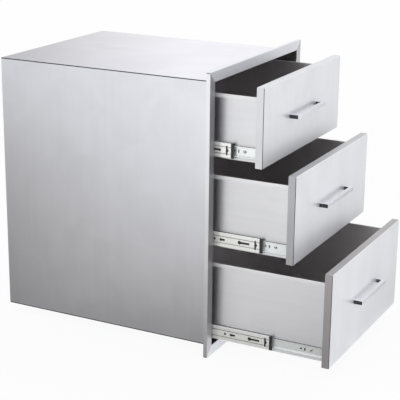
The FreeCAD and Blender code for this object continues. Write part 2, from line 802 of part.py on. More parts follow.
bottom_foot = cabinet_foot + s.sheet + s.edge_gap
centre_foot = bottom_foot + bottom_front_height + s.between_gap
top_foot = centre_foot + s.centre_front_height + s.between_gap
LEVELS = (
    Level("top", top_foot, s.top_front_height, s.top_open),
    Level("centre", centre_foot, s.centre_front_height, s.centre_open),
    Level("bottom", bottom_foot, bottom_front_height, s.bottom_open),
)

trim_member("trim_top_rail", (-1, 1), (1, 1))
trim_member("trim_bottom_rail", (-1, -1), (1, -1))
trim_member("trim_left_stile", (-1, -1), (-1, 1))
trim_member("trim_right_stile", (1, -1), (1, 1))
for hand, side in HANDS.items():
    cabinet_side(hand, side)
cabinet_lid("cabinet_top", cabinet_head, -1)
cabinet_lid("cabinet_floor", cabinet_foot, 1)
cabinet_back()

for level in LEVELS:
    for hand, side in HANDS.items():
        cabinet_member(level, hand, side)
        middle_member(level, hand, side)
        drawer_member(level, hand, side)
    front_stops(level)
    ball_cages(f"{level.name}_slide_outer_ball_cages",
               slide_front + cage_start - level.outer_cage_travel,
               level.axis, s.outer_cage_web, outer_ball_height)
    ball_cages(f"{level.name}_slide_inner_ball_cages",
               slide_front + cage_start - level.inner_cage_travel,
               level.axis, s.inner_cage_web, inner_ball_height)
    rivets(level)
    drawer_box(level)
    box_back(level)
    drawer_front(level)
    inner_front(level)
    handle(level)
    handle_screws(level)

doc.recompute()
for thing in doc.Objects:
    if "Invalid" in thing.State or "Error" in thing.State:
        raise RuntimeError(f"{thing.Name} failed: {thing.State}")
for body in Piece.made:
    if body.Shape.isNull() or not body.Shape.isValid():
        raise RuntimeError(f"{body.Label} has no valid solid")

os.makedirs("parts", exist_ok=True)
for body in Piece.made:
    body.Shape.exportStep(f"parts/{body.Label}.step")
    reach = body.Shape.BoundBox
    print(f"{body.Label}: {len(body.Shape.Solids)} solids, {body.Shape.Volume:.0f} mm3, "
          f"x {reach.XMin:.1f} to {reach.XMax:.1f}, y {reach.YMin:.1f} to {reach.YMax:.1f}, "
          f"z {reach.ZMin:.1f} to {reach.ZMax:.1f}")
print(f"{len(Piece.made)} pieces")
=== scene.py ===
# %% [markdown]
# The outdoor kitchen drawer unit, dressed for its picture
#
# The object is a cabinet of folded stainless sheet that drops into an outdoor kitchen
# island. A trim frame stands out all round its front, and three drawers run in it on
# ball-bearing slides. Every solid piece comes from the CAD frame and keeps its place. This
# script gives each of them its finish, adds the small details that belong to the looks, and
# sets up the camera, the floor and the light.

# %% Load the frame
import math

import bmesh
import bpy
from mathutils import Matrix, Vector


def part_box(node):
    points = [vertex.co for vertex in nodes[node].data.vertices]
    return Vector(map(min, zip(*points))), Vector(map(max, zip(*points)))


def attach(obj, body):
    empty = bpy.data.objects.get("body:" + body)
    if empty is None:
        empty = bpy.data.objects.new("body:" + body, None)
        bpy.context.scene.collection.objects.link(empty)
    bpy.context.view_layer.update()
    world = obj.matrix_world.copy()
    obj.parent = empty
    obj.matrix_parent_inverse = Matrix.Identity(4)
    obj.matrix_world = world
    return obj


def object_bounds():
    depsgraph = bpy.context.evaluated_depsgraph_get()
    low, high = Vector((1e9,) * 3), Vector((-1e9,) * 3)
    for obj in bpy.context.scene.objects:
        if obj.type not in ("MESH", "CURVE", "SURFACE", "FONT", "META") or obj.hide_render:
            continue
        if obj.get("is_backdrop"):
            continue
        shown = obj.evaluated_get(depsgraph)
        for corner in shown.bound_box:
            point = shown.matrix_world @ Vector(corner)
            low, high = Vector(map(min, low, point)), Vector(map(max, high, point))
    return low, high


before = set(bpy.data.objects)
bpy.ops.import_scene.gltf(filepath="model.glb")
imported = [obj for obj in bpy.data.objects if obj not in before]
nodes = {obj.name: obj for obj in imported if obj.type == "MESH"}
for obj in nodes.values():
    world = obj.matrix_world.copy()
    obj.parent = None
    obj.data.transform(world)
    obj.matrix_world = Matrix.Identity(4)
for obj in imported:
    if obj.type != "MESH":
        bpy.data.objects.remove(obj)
cad_low, cad_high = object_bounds()
print("CAD nodes:", len(nodes))
print("CAD box:", [round(value, 4) for value in (*cad_low, *cad_high)])

# %% [markdown]
# The camera
#
# A camera is described here by where it looks from: an azimuth round the object, an
# elevation above the horizon, a distance, and the point that it looks at. The upright edges
# lean very little in the picture, so the lens is long and the camera far away. The whole
# picture is turned by a little over half a degree, which is the roll. The three columns of
# the camera's matrix are its own right, its own up, and the way back from what it looks at.

# %% Camera
CAMERA_AZIMUTH = math.radians(-62.90124)
CAMERA_ELEVATION = math.radians(17.09137)
CAMERA_ROLL = math.radians(0.605)
CAMERA_DISTANCE = 2.40264
CAMERA_TARGET = Vector((-0.26331, -0.0085, 0.35387))
LENS_MM = 110.05
SENSOR_MM = 36.0


def place_camera():
    """Stands the camera on a sphere round its target, looks inward, and rolls it."""
    back = Vector((
        math.sin(CAMERA_AZIMUTH) * math.cos(CAMERA_ELEVATION),
        -math.cos(CAMERA_AZIMUTH) * math.cos(CAMERA_ELEVATION),
        math.sin(CAMERA_ELEVATION),
    ))
    level_right = Vector((0, 0, 1)).cross(back).normalized()
    level_up = back.cross(level_right)
    right = level_right * math.cos(CAMERA_ROLL) + level_up * math.sin(CAMERA_ROLL)
    up = level_up * math.cos(CAMERA_ROLL) - level_right * math.sin(CAMERA_ROLL)
    data = bpy.data.cameras.new("camera")
    data.lens = LENS_MM
    data.sensor_width = SENSOR_MM
    camera = bpy.data.objects.new("camera", data)
    bpy.context.scene.collection.objects.link(camera)
    turn = Matrix((right, up, back)).transposed().to_4x4()
    camera.matrix_world = Matrix.Translation(CAMERA_TARGET + back * CAMERA_DISTANCE) @ turn
    bpy.context.scene.camera = camera
    return camera


camera = place_camera()
print("camera at", [round(value, 3) for value in camera.matrix_world.translation])

# %% [markdown]
# Small helpers for materials
#
# A material is a tree of nodes, and most of the writing is in placing nodes and joining
# sockets. These helpers keep that short. The first adds a node and fills in its sockets,
# where a value that is another node's output becomes a link. The second starts a material
# from Blender's main shader, the Principled BSDF.

# %% Node and material helpers


def add_node(tree, kind, sockets=None, **settings):
    """Adds a node, applies its settings, and fills its input sockets."""
    node = tree.nodes.new(kind)
    for name, value in settings.items():
        setattr(node, name, value)
    for name, value in (sockets or {}).items():
        if isinstance(value, bpy.types.NodeSocket):
            tree.links.new(value, node.inputs[name])
        else:
            node.inputs[name].default_value = value
    return node


def new_material(name):
    """Starts a material and hands back its tree and its main shader."""
    material = bpy.data.materials.new(name)
    material.use_nodes = True
    return material, material.node_tree, material.node_tree.nodes["Principled BSDF"]


print("helpers:", add_node.__name__, new_material.__name__)

# %% [markdown]
# Small helpers for node groups
#
# An effect that several materials share is built once, as a group of nodes with named
# sockets, and each material places the group with its own values. One helper starts a group
# from lists of sockets, and the other places it.

# %% Group helpers


def new_group(name, inputs, outputs):
    """Starts a shader node group from lists of socket names and kinds."""
    group = bpy.data.node_groups.new(name, "ShaderNodeTree")
    for title, kind, value in inputs:
        socket = group.interface.new_socket(title, in_out="INPUT", socket_type=kind)
        socket.default_value = value
    for title, kind in outputs:
        group.interface.new_socket(title, in_out="OUTPUT", socket_type=kind)
    return group, group.nodes.new("NodeGroupInput"), group.nodes.new("NodeGroupOutput")


def use_group(tree, group, sockets):
    """Places a node group in a material with this material's own values."""
    node = tree.nodes.new("ShaderNodeGroup")
    node.node_tree = group
    for name, value in sockets.items():
        node.inputs[name].default_value = value
    return node.outputs


print("helpers:", new_group.__name__, use_group.__name__)

# %% [markdown]
# The grain that a brushing belt leaves
#
# Stainless sheet is sold brushed: a belt has drawn fine scratches along it, all one way.
# Seen from a few metres they are faint streaks, long along the grain and narrow across it.
# An image could carry them, but noise stretched along one axis gives the same streaks at any
# size and needs no unwrapping. One noise makes the fine scratches, and a second, about eight
# times wider, makes the bands that the eye sees from afar. Both are fed by object
# coordinates, so the streaks stay on the metal when a drawer slides.

# %% Group: brushed grain
ALONG_Z = (700.0, 700.0, 5.0)
BAND_RATIO = 0.12


def build_grain_group():
    """Makes the group: Stretch in, streaks and height out."""
    group, entry, leave = new_group(
        "brushed grain",
        [("Stretch", "NodeSocketVector", ALONG_Z)],
        [("Streaks", "NodeSocketFloat"), ("Height", "NodeSocketFloat")],
    )
    place = add_node(group, "ShaderNodeTexCoord").outputs["Object"]
    fine_place = add_node(group, "ShaderNodeVectorMath", {0: place, 1: entry.outputs["Stretch"]},
                          operation="MULTIPLY")
    fine = add_node(group, "ShaderNodeTexNoise",
                    {"Vector": fine_place.outputs[0], "Scale": 1.0, "Detail": 2.0})
    band_place = add_node(group, "ShaderNodeVectorMath",
                          {0: fine_place.outputs[0], "Scale": BAND_RATIO}, operation="SCALE")
    band = add_node(group, "ShaderNodeTexNoise",
                    {"Vector": band_place.outputs[0], "Scale": 1.0, "Detail": 3.0})
    both = add_node(group, "ShaderNodeMath",
                    {0: fine.outputs["Fac"], 1: band.outputs["Fac"]}, operation="ADD")
    half = add_node(group, "ShaderNodeMath", {0: both.outputs[0], 1: 0.5}, operation="MULTIPLY")
    group.links.new(half.outputs[0], leave.inputs["Streaks"])
    group.links.new(fine.outputs["Fac"], leave.inputs["Height"])
    return group


grain_group = build_grain_group()
print("group:", grain_group.name)

# %% [markdown]
# Clouds left by hands and cloths
#
# Sheet that has been handled, wiped and packed is never even: soft patches a hand wide are a
# little duller than the rest. Painting them would fix them to one place. A large, slow noise
# puts them everywhere and takes one number, the width of a patch in metres. Such a noise
# seldom leaves the middle of its range, so that middle is stretched to run from 0 to 1.

# %% Group: handling clouds
NOISE_LOW = 0.3
NOISE_HIGH = 0.7
PATCH_WIDTH = 0.12


def build_cloud_group():
    """Makes the group: patch width in, a soft mask out."""
    group, entry, leave = new_group(
        "handling clouds",
        [("Patch", "NodeSocketFloat", PATCH_WIDTH)],
        [("Clouds", "NodeSocketFloat")],
    )
    place = add_node(group, "ShaderNodeTexCoord").outputs["Object"]
    pitch = add_node(group, "ShaderNodeMath", {0: 1.0, 1: entry.outputs["Patch"]},
                     operation="DIVIDE")
    noise = add_node(group, "ShaderNodeTexNoise",
                     {"Vector": place, "Scale": pitch.outputs[0], "Detail": 2.0,
                      "Distortion": 0.6})
    soft = add_node(group, "ShaderNodeMapRange",
                    {"Value": noise.outputs["Fac"], "From Min": NOISE_LOW,
                     "From Max": NOISE_HIGH}, interpolation_type="SMOOTHSTEP")
    group.links.new(soft.outputs["Result"], leave.inputs["Clouds"])
    return group


cloud_group = build_cloud_group()
print("group:", cloud_group.name)

# %% [markdown]
# The steels
#
# One function makes every steel here, because they differ only in a few numbers: the tint
# and the share that the streaks take off it, how rough the surface is, which way the grain
# runs, and how much of it is bare metal. Brushed sheet scatters part of the light in all
# directions, as paint would, so many of the finishes keep a dull share. Scratches that all
# run one way also spread a reflection to one side and the other of them, far more than along
# them. The shader calls that anisotropic. It needs the way across the grain at every point,
# which is the cross product of the facing and the grain. The clouds take a little off the
# tint, where the sheet has been handled.

# %% Steel function
ALONG_X = (5.0, 700.0, 700.0)
ALONG_Y = (700.0, 5.0, 700.0)
NO_GRAIN = (160.0, 160.0, 160.0)
WAY = {ALONG_X: (1, 0, 0), ALONG_Y: (0, 1, 0), ALONG_Z: (0, 0, 1)}
CLOUD_DEPTH = 0.05
SCRATCH_DEPTH = 0.0002


def shade_of(tint, share):
    """Gives a tint made darker by a share of itself."""
    return tuple(channel * (1 - share) for channel in tint)


def steel(name, tint, roughness, grain, metal=1.0, spread=0.0, streaks=0.05, bump=0.04,
          patch=PATCH_WIDTH):
    """Makes a steel from its tint, its roughness, the way of its grain and its bare share."""
    material, tree, shader = new_material(name)
    scratches = use_group(tree, grain_group, {"Stretch": grain})
    clouds = use_group(tree, cloud_group, {"Patch": patch})
    blend = add_node(tree, "ShaderNodeMapRange",
                     {"Value": scratches["Streaks"], "From Min": NOISE_LOW,
                      "From Max": NOISE_HIGH})
    streaked = add_node(tree, "ShaderNodeMix",
                        {"Factor": blend.outputs["Result"], "A": (*shade_of(tint, streaks), 1),
                         "B": (*tint, 1)}, data_type="RGBA")
    held = add_node(tree, "ShaderNodeMath", {0: clouds["Clouds"], 1: CLOUD_DEPTH},
                    operation="MULTIPLY")
    clouded = add_node(tree, "ShaderNodeMix",
                       {"Factor": held.outputs[0], "A": streaked.outputs["Result"],
                        "B": (0, 0, 0, 1)}, data_type="RGBA")
    relief = add_node(tree, "ShaderNodeBump",
                      {"Height": scratches["Height"], "Strength": bump,
                       "Distance": SCRATCH_DEPTH})
    tree.links.new(clouded.outputs["Result"], shader.inputs["Base Color"])
    tree.links.new(relief.outputs["Normal"], shader.inputs["Normal"])
    shader.inputs["Metallic"].default_value = metal
    shader.inputs["Roughness"].default_value = roughness
    if spread:
        facing = add_node(tree, "ShaderNodeNewGeometry").outputs["Normal"]
        across = add_node(tree, "ShaderNodeVectorMath", {0: facing, 1: WAY[grain]},
                          operation="CROSS_PRODUCT")
        tree.links.new(across.outputs[0], shader.inputs["Tangent"])
        shader.inputs["Anisotropic"].default_value = spread
    return material


print("ways of the grain:", len(WAY))

# %% [markdown]
# Finishes of the cabinet and the trim
#
# The sides are brushed upright, and the top from front to back with a smoother finish. The
# trim's rails are brushed along their length and its stiles upright, and the lips mirror more
# sharply than the fronts. The stiles' fronts have a darker tint than the rails, which is painted
# shade. The inside of the cabinet and the open seams lie in the shade, so their tints are dark.

# %% Cabinet and trim steels
cabinet_steel = steel("cabinet steel", (0.795, 0.805, 0.85), 0.30, ALONG_Z, spread=0.6,
                      streaks=0.03, bump=0.03, patch=0.08)
lid_steel = steel("lid steel", (0.78, 0.778, 0.85), 0.14, ALONG_Y, spread=0.6)
# The stiles' darker tint is painted shade.
stile_shade_steel = steel("stile steel in painted shade", (0.62, 0.62, 0.65), 0.44, ALONG_Z)
lip_steel = steel("lip steel", (0.86, 0.865, 0.89), 0.30, ALONG_Z, spread=0.6)
rail_steel = steel("rail steel", (0.84, 0.86, 0.90), 0.38, ALONG_X, metal=0.6)
hollow_steel = steel("steel inside the cabinet", (0.35, 0.34, 0.34), 0.40, ALONG_Z)
# A near-black steel for the open seams, which is painted shade.
seam_shade_steel = steel("painted seam shade", (0.05, 0.05, 0.055), 0.45, NO_GRAIN)
print("steels made:", len(bpy.data.materials))

# %% [markdown]
# Finishes of the drawers
#
# The fronts are brushed upright. Each drawer stands out by another length, and each drawer's
# edges get a tone of their own, darker for the lower drawers: painted shade. The boxes are
# brushed from front to back, which spreads a reflection widely up and down their sides, and the
# rolled rims and the inner sheets are duller. The handles are nearly polished, and the flanks
# of their legs are painted dark, a painted reflection of the dark room.

# %% Drawer steels
# Edge tints, darker for the lower drawers: painted shade.
EDGE_SHADE_TINTS = {
    "top": ((0.75, 0.75, 0.78), 0.92),
    "centre": ((0.52, 0.52, 0.54), 0.92),
    "bottom": ((0.45, 0.43, 0.44), 0.50),
}
front_steel = steel("front steel", (0.88, 0.885, 0.92), 0.42, ALONG_Z, metal=0.58, spread=0.45)
edge_shade_steels = {level: steel(f"{level} edge painted shade", tint, 0.36, ALONG_Z, metal=bare)
               for level, (tint, bare) in EDGE_SHADE_TINTS.items()}
# The dark bends are painted reflection.
bend_reflection_steel = steel("bend painted reflection", (0.30, 0.30, 0.32), 0.30, ALONG_Z)
box_steel = steel("box steel", (0.95, 0.955, 0.985), 0.46, ALONG_Y, metal=0.94, spread=0.85)
# A warmer tint inside the boxes, which is painted reflection.
inside_steel = steel("steel inside the boxes", (0.975, 0.945, 0.94), 0.46, ALONG_Y, metal=0.94,
                     spread=0.85)
hem_steel = steel("hem steel", (0.92, 0.92, 0.94), 0.40, ALONG_Y, metal=0.5)
inner_steel = steel("inner front steel", (0.91, 0.925, 0.96), 0.40, ALONG_Z, metal=0.30)
handle_steel = steel("handle steel", (0.95, 0.96, 1.0), 0.16, ALONG_X)
# The dark handle flanks are painted reflection.
flank_reflection_steel = steel("handle flank painted reflection", (0.12, 0.12, 0.13), 0.22, ALONG_Y)
print("steels made:", len(bpy.data.materials))

# %% [markdown]
# Finishes of the slides
#
# Slides are rolled from steel strip and plated with bright zinc, which has no grain and a
# slightly green tint. The middle members are a little warmer. What lies in a groove or in the
# shade of a flange is dark.

# %% Slide zincs
zinc = steel("bright zinc", (0.93, 0.97, 0.965), 0.22, NO_GRAIN, metal=0.50, patch=0.03)
middle_zinc = steel("zinc of the middle members", (0.95, 0.96, 0.93), 0.22, NO_GRAIN,
                    metal=0.50, patch=0.03)
groove_zinc = steel("zinc in the grooves", (0.30, 0.30, 0.29), 0.40, NO_GRAIN, patch=0.03)
dark_zinc = steel("zinc in the shade", (0.22, 0.22, 0.22), 0.35, NO_GRAIN, patch=0.03)
fastener_zinc = steel("fastener zinc", (0.74, 0.74, 0.72), 0.25, NO_GRAIN, patch=0.01)
cage_steel = steel("cage steel", (0.70, 0.70, 0.70), 0.30, NO_GRAIN)
print("steels and zincs made:", len(bpy.data.materials))

# %% [markdown]
# Moulded black plastic
#
# The stops at the front of the middle slide members are moulded in black plastic, with the
# fine, even texture of the mould.

# %% Plastic
MOULD_SCALE = 1800.0
MOULD_SWING = 0.08
MOULD_BUMP = 0.15
MOULD_DEPTH = 0.0001


def plastic(name, color, roughness):
    """Makes a moulded plastic with the fine texture of its mould."""
    material, tree, shader = new_material(name)
    place = add_node(tree, "ShaderNodeTexCoord").outputs["Object"]
    texture = add_node(tree, "ShaderNodeTexNoise",
                       {"Vector": place, "Scale": MOULD_SCALE, "Detail": 1.0})
    shade = add_node(tree, "ShaderNodeMapRange",
                     {"Value": texture.outputs["Fac"], "To Min": roughness - MOULD_SWING,
                      "To Max": roughness + MOULD_SWING})
    tree.links.new(shade.outputs["Result"], shader.inputs["Roughness"])
    relief = add_node(tree, "ShaderNodeBump",
                      {"Height": texture.outputs["Fac"], "Strength": MOULD_BUMP,
                       "Distance": MOULD_DEPTH})
    tree.links.new(relief.outputs["Normal"], shader.inputs["Normal"])
    shader.inputs["Base Color"].default_value = (*color, 1)
    return material


black_plastic = plastic("black plastic", (0.02, 0.02, 0.021), 0.45)
print("plastic:", black_plastic.name)

# %% [markdown]
# Dressing the CAD pieces
#
# A CAD piece keeps its mesh and its place, and only its material slots are filled again. The
# table goes from the end of a node's name to its finish. The first key that fits is taken, so
# the middle members stand before the other members.

# %% Dress the nodes
FINISHES = {
    "trim_top_rail": rail_steel,
    "trim_bottom_rail": rail_steel,
    "trim_left_stile": stile_shade_steel,
    "trim_right_stile": stile_shade_steel,
    "cabinet_left_side": cabinet_steel,
    "cabinet_right_side": cabinet_steel,
    "cabinet_top": lid_steel,
    "cabinet_floor": lid_steel,
    "cabinet_back": cabinet_steel,
    "_middle_member": middle_zinc,
    "_member": zinc,
    "_front_stops": black_plastic,
    "_ball_cages": cage_steel,
    "_rivets": fastener_zinc,
    "_handle_screws": fastener_zinc,
    "_drawer_front": front_steel,
    "_drawer_inner_front": inner_steel,
    "_drawer_box": box_steel,
    "_drawer_box_back": box_steel,
    "_drawer_handle": handle_steel,
}


def finish_of(name):
    """Finds the first finish whose key ends the node's name."""
    return next(finish for key, finish in FINISHES.items() if name.endswith(key))


for name, node in nodes.items():
    node.data.materials.clear()
    node.data.materials.append(finish_of(name))
print("nodes dressed:", len(nodes), "with finishes:", len(set(FINISHES.values())))

# %% [markdown]
# Faces with a finish of their own
#
# Some faces of a piece look different from the rest of it. A CAD mesh is never changed, but
# each of its faces may point at another material in the node's slots. The function below adds
# a material to a node and points at it every face that a test picks. The test is told which
# way the face looks and where its middle lies.

# %% Second finishes


def second_finish(name, material, chosen):
    """Gives the chosen faces of a node a second material, and counts them."""
    node = nodes[name]
    node.data.materials.append(material)
    turn = node.matrix_world
    faces = [face for face in node.data.polygons
             if chosen(turn.to_3x3() @ face.normal, turn @ face.center)]
    for face in faces:
        face.material_index = len(node.data.materials) - 1
    return len(faces)


print("faces in the CAD nodes:", sum(len(node.data.polygons) for node in nodes.values()))

# %% [markdown]
# Picking faces by the way they look
#
# The normal of a face is an arrow of length one that points straight out of it. Where one of
# its three numbers is close to one, the face looks squarely that way. On a rounded bend
# between two flat faces, two of the numbers are well away from nothing, which picks the bend
# and leaves the flat faces alone.

# %% Tests of the way a face looks
SQUARE_ON = 0.95
BEND_SHARE = 0.25


def on_a_side(normal, center):
    """Tells a face that looks to the left or to the right."""
    return abs(normal.x) > SQUARE_ON


def on_a_rim(normal, center):
    """Tells a face that looks sideways, up or down, as the edges of a front do."""
    return max(abs(normal.x), abs(normal.z)) > SQUARE_ON


def looks_up(normal, center):
    """Tells a face that looks up."""
    return normal.z > SQUARE_ON


def on_a_bend(normal, center):
    """Tells a face on the upright bend between the front of a pan and its edge."""
    return normal.y < -BEND_SHARE and abs(normal.x) > BEND_SHARE


print("squarely means within", round(math.degrees(math.acos(SQUARE_ON))), "degrees")

# %% [markdown]
# Picking faces by where they lie
#
# The unit is the same on both sides of its middle, so a face that looks at the middle has a
# normal that points against its own place from left to right. The folds behind the long seams
# and the floors of the grooves lie at known distances from the middle. Two of the helpers
# make a test from a height, for pieces that stand at different heights.

# %% Tests of where a face lies
SEAM_FOLD_X = 0.2035
GROOVE_FLOOR_X = 0.1994
GROOVE_SLACK = 0.0001


def looks_inward(normal, center):
    """Tells a face that looks at the middle of the unit."""
    return normal.x * center.x < -SQUARE_ON * abs(center.x)


def inside_a_box(normal, center):
    """Tells a face of a drawer box that looks at what lies in the drawer."""
    return looks_inward(normal, center) or looks_up(normal, center)


def beside_a_side(normal, center):
    """Tells a face on a fold that lies flat behind one of the cabinet's sides."""
    return on_a_side(normal, center) and abs(center.x) > SEAM_FOLD_X


def in_a_groove(normal, center):
    """Tells a face on the floor of a groove along a middle member's web."""
    return on_a_side(normal, center) and abs(abs(center.x) - GROOVE_FLOOR_X) < GROOVE_SLACK


def above(height):
    """Makes a test for the faces above a height."""
    return lambda normal, center: center.z > height


def looks_up_above(height):
    """Makes a test for the faces above a height that look up."""
    return lambda normal, center: looks_up(normal, center) and center.z > height


print("seams and grooves lie", SEAM_FOLD_X, "and", GROOVE_FLOOR_X, "m from the middle")

# %% [markdown]
# The edges of the drawer fronts, and the handles
#
# The narrow edges of a drawer front are folded sheet, and each drawer's edges have their own
# tone, which is painted shade. The bends between the edges and the front, and the flanks of a
# handle's legs, show as dark lines, because they mirror darker parts of the room. A darker steel
# on those faces paints that reflection in from every side, with no lamp or card made for them.

# %% Fronts and handles
LEVELS = ("top", "centre", "bottom")
for level in LEVELS:
    edges = second_finish(f"{level}_drawer_front", edge_shade_steels[level], on_a_rim)
    bends = second_finish(f"{level}_drawer_front", bend_reflection_steel, on_a_bend)
    flanks = second_finish(f"{level}_drawer_handle", flank_reflection_steel, on_a_side)
    print(level, "edge faces:", edges, "bend faces:", bends, "flank faces:", flanks)

# %% [markdown]
# The drawer boxes
#
# The inside of a drawer box mirrors only the rest of the box, which makes it warmer than the
# outside, and that warmth is painted in as a warmer tint: painted reflection. The rolled rim
# along its top catches light from all round and is the brightest part of it. It is chosen last,
# because it takes some faces back from the inside.

# %% Inside and rim of the boxes
HEM_HEIGHT = 0.008
for level in LEVELS:
    box = f"{level}_drawer_box"
    inside = second_finish(box, inside_steel, inside_a_box)
    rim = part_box(box)[1][2]
    hems = second_finish(box, hem_steel, above(rim - HEM_HEIGHT))
    print(level, "faces inside the box:", inside, "on the rim:", hems)

# %% [markdown]
# The trim's lips, the inside of the cabinet and the seams
#
# The lips of the trim look to the sides and are brighter than its fronts. The inside of the
# cabinet lies in the shade, and so do the folds behind the long open seams.

# %% Lips, inside and seams
HANDS = ("left", "right")
for hand in HANDS:
    print(hand, "lip faces:", second_finish(f"trim_{hand}_stile", lip_steel, on_a_side),
          "inner faces:", second_finish(f"cabinet_{hand}_side", hollow_steel, looks_inward))
for name in ("cabinet_top", "cabinet_floor"):
    print(name, "seam faces:", second_finish(name, seam_shade_steel, beside_a_side))

# %% [markdown]
# The shade in the slides
#
# The members of a slide lie inside each other, so little light comes to the tops of their upper
# flanges, while their lower flanges catch some. The floors of the grooves along the middle
# members lie in the shade as well. Both get darker zincs, so that the lines along a slide
# stay as crisp as they are on a real one.

# %% Shaded flanges and grooves
members = [name for name in nodes if name.endswith("_member")]
for name in members:
    low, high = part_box(name)
    shaded = second_finish(name, dark_zinc, looks_up_above((low[2] + high[2]) / 2))
    if name.endswith("_middle_member"):
        print(name, "shaded faces:", shaded,
              "groove faces:", second_finish(name, groove_zinc, in_a_groove))
print("members:", len(members))

# %% [markdown]
# What shows through the slots of a slide
#
# The middle member of a slide is pierced by slots that its makers use to hold it while it is
# put together. What lies behind them is in shade, so they look black. A thin dark strip close
# behind the web of each middle member paints that shade in. The drawer member has an upright
# slot and a spare hole near its front end, and a thin dark plug in each of them is painted shade
# as well. A plate is drawn as an outline seen from the side, and then made thick towards the
# middle. Its two depths are counted in millimetres from the outside of the cabinet's wall inward.

# %% Plate helpers
MM = 0.001
ARC_STEPS = 6
WALL_X = 0.204


def rounded_outline(start, end, half_height, radius):
    """Points round a rectangle with round corners, half above a line and half below."""
    points = []
    for across, up, first in ((end, 1, 0), (start, 1, 90), (start, -1, 180), (end, -1, 270)):
        inward = -1 if across == end else 1
        for step in range(ARC_STEPS + 1):
            angle = math.radians(first + 90 * step / ARC_STEPS)
            points.append((across + inward * radius + radius * math.cos(angle),
                           up * (half_height - radius) + radius * math.sin(angle)))
    return points


def side_plate(name, outline, origin, depth, side):
    """A thin plate from its outline in millimetres, at a depth inside a cabinet wall."""
    shape = bmesh.new()
    outer, inner = (side * (WALL_X - reach * MM) for reach in depth)
    rings = [[shape.verts.new((x, origin[0] + y * MM, origin[1] + z * MM)) for y, z in outline]
             for x in (outer, inner)]
    shape.faces.new(rings[0])
    shape.faces.new(list(reversed(rings[1])))
    count = len(outline)
    for number in range(count):
        after = (number + 1) % count
        shape.faces.new((rings[0][after], rings[0][number], rings[1][number],
                         rings[1][after]))
    bmesh.ops.recalc_face_normals(shape, faces=shape.faces)
    mesh = bpy.data.meshes.new(name)
    shape.to_mesh(mesh)
    shape.free()
    plate = bpy.data.objects.new(name, mesh)
    bpy.context.scene.collection.objects.link(plate)
    return plate


print("the cabinet's walls stand", WALL_X, "m from the middle")

# %% [markdown]
# Where the strips and plugs sit
#
# Each plate lies on its slide's own line and starts at the front end of what it belongs to. An
# outline is its start and its end behind that front end, half its height, and the radius of
# its corners, in millimetres. Each plate rides on the body of its member, so it stays behind
# its slot when the drawer moves.

# %% Strips and plugs of the slides
# The strips and plugs are dark sheets that paint the shade seen through the slots.
SHADE_STRIP_DEPTH = (5.25, 5.55)
SHADE_STRIP_OUTLINE = (21.0, 116.0, 5.0, 2.0)
SHADE_PLUG_DEPTH = (12.25, 12.65)
SHADE_PLUG_OUTLINES = {
    "slot": (37.2, 39.8, 3.3, 0.5),
    "hole": (44.95, 49.05, 2.05, 2.0),
}


def place_plate(name, outline, node, depth, side, material, body):
    """Puts a plate behind a slide member's web and lets it ride with that member."""
    low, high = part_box(node)
    origin = (low[1], (low[2] + high[2]) / 2)
    plate = side_plate(name, outline, origin, depth, side)
    plate.data.materials.append(material)
    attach(plate, body)
    return plate


made = []
for level in LEVELS:
    for hand, side in zip(HANDS, (-1, 1)):
        made.append(place_plate(
            f"{level}_slide_{hand}_slot_strip", rounded_outline(*SHADE_STRIP_OUTLINE),
            f"{level}_slide_front_stops", SHADE_STRIP_DEPTH, side, black_plastic,
            f"{level}_middle_members"))
        for label, outline in SHADE_PLUG_OUTLINES.items():
            made.append(place_plate(
                f"{level}_slide_{hand}_{label}_plug", rounded_outline(*outline),
                f"{level}_slide_{hand}_drawer_member", SHADE_PLUG_DEPTH, side, dark_zinc,
                f"{level}_drawer"))
print("strips and plugs:", len(made))

# %% [markdown]
# The seams at the corners of the trim
#
# The lips of the four trim lengths meet along the corners of the frame. They are not welded
# there, so each corner shows a short dark line of shade in the open gap, from front to back. A
# dark bead that paints that shade is sunk in the side lip there, and stands only a few
# hundredths of a millimetre proud of it. The lips stand outside the cabinet's wall, so the
# bead's two depths are less than nothing.

# %% Corner seams of the trim
SEAM_HALF = 0.6
SEAM_ROUND = 0.3
SEAM_DROP = 1.0
SEAM_SETBACK = 0.6
SEAM_PROUD = 0.03
SEAM_SUNK = 0.30


def corner_seam_shade(name, side, height, front, rear):
    """A short dark bead of painted shade along one corner of the trim, sunk in the side lip."""
    outline = rounded_outline(front, rear, SEAM_HALF, SEAM_ROUND)
    lip_face = cad_high[0] if side > 0 else -cad_low[0]
    lip_depth = (WALL_X - lip_face) / MM
    depth = (lip_depth - SEAM_PROUD, lip_depth + SEAM_SUNK)
    seam = side_plate(name, outline, (0, height), depth, side)
    seam.data.materials.append(seam_shade_steel)
    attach(seam, "cabinet")


for hand, side in zip(HANDS, (-1, 1)):
    low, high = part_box(f"trim_{hand}_stile")
    front, rear = low[1] / MM + SEAM_SETBACK, high[1] / MM
    for end, height in (("top", high[2] - SEAM_DROP * MM), ("bottom", low[2] + SEAM_DROP * MM)):
        corner_seam_shade(f"trim_{hand}_{end}_seam", side, height, front, rear)
    print(hand, "seams run from", round(front, 2), "to", round(rear, 2), "mm")

# %% [markdown]
# The light
#
# The picture is a catalogue view: pure white all round, light from everywhere, no hard
# shadow. A white world does that at once, at a strength of one, so that a finish comes out
# about as it is written.

# %% World
WHITE = (1, 1, 1, 1)
scene = bpy.context.scene
scene.view_settings.view_transform = "Standard"
world = bpy.data.worlds.new("studio")
scene.world = world
world.use_nodes = True
background = world.node_tree.nodes["Background"]
background.inputs["Color"].default_value = WHITE
background.inputs["Strength"].default_value = 1.0
print("world:", world.name, "view transform:", scene.view_settings.view_transform)

# %% [markdown]
# The floor
#
# The floor is pale and matt, so the light that it throws back is plain. Where the camera sees
# it, straight or by mirror, it is lifted towards white, and a small share of the matt floor
# is kept there, which carries the shadow of the unit.

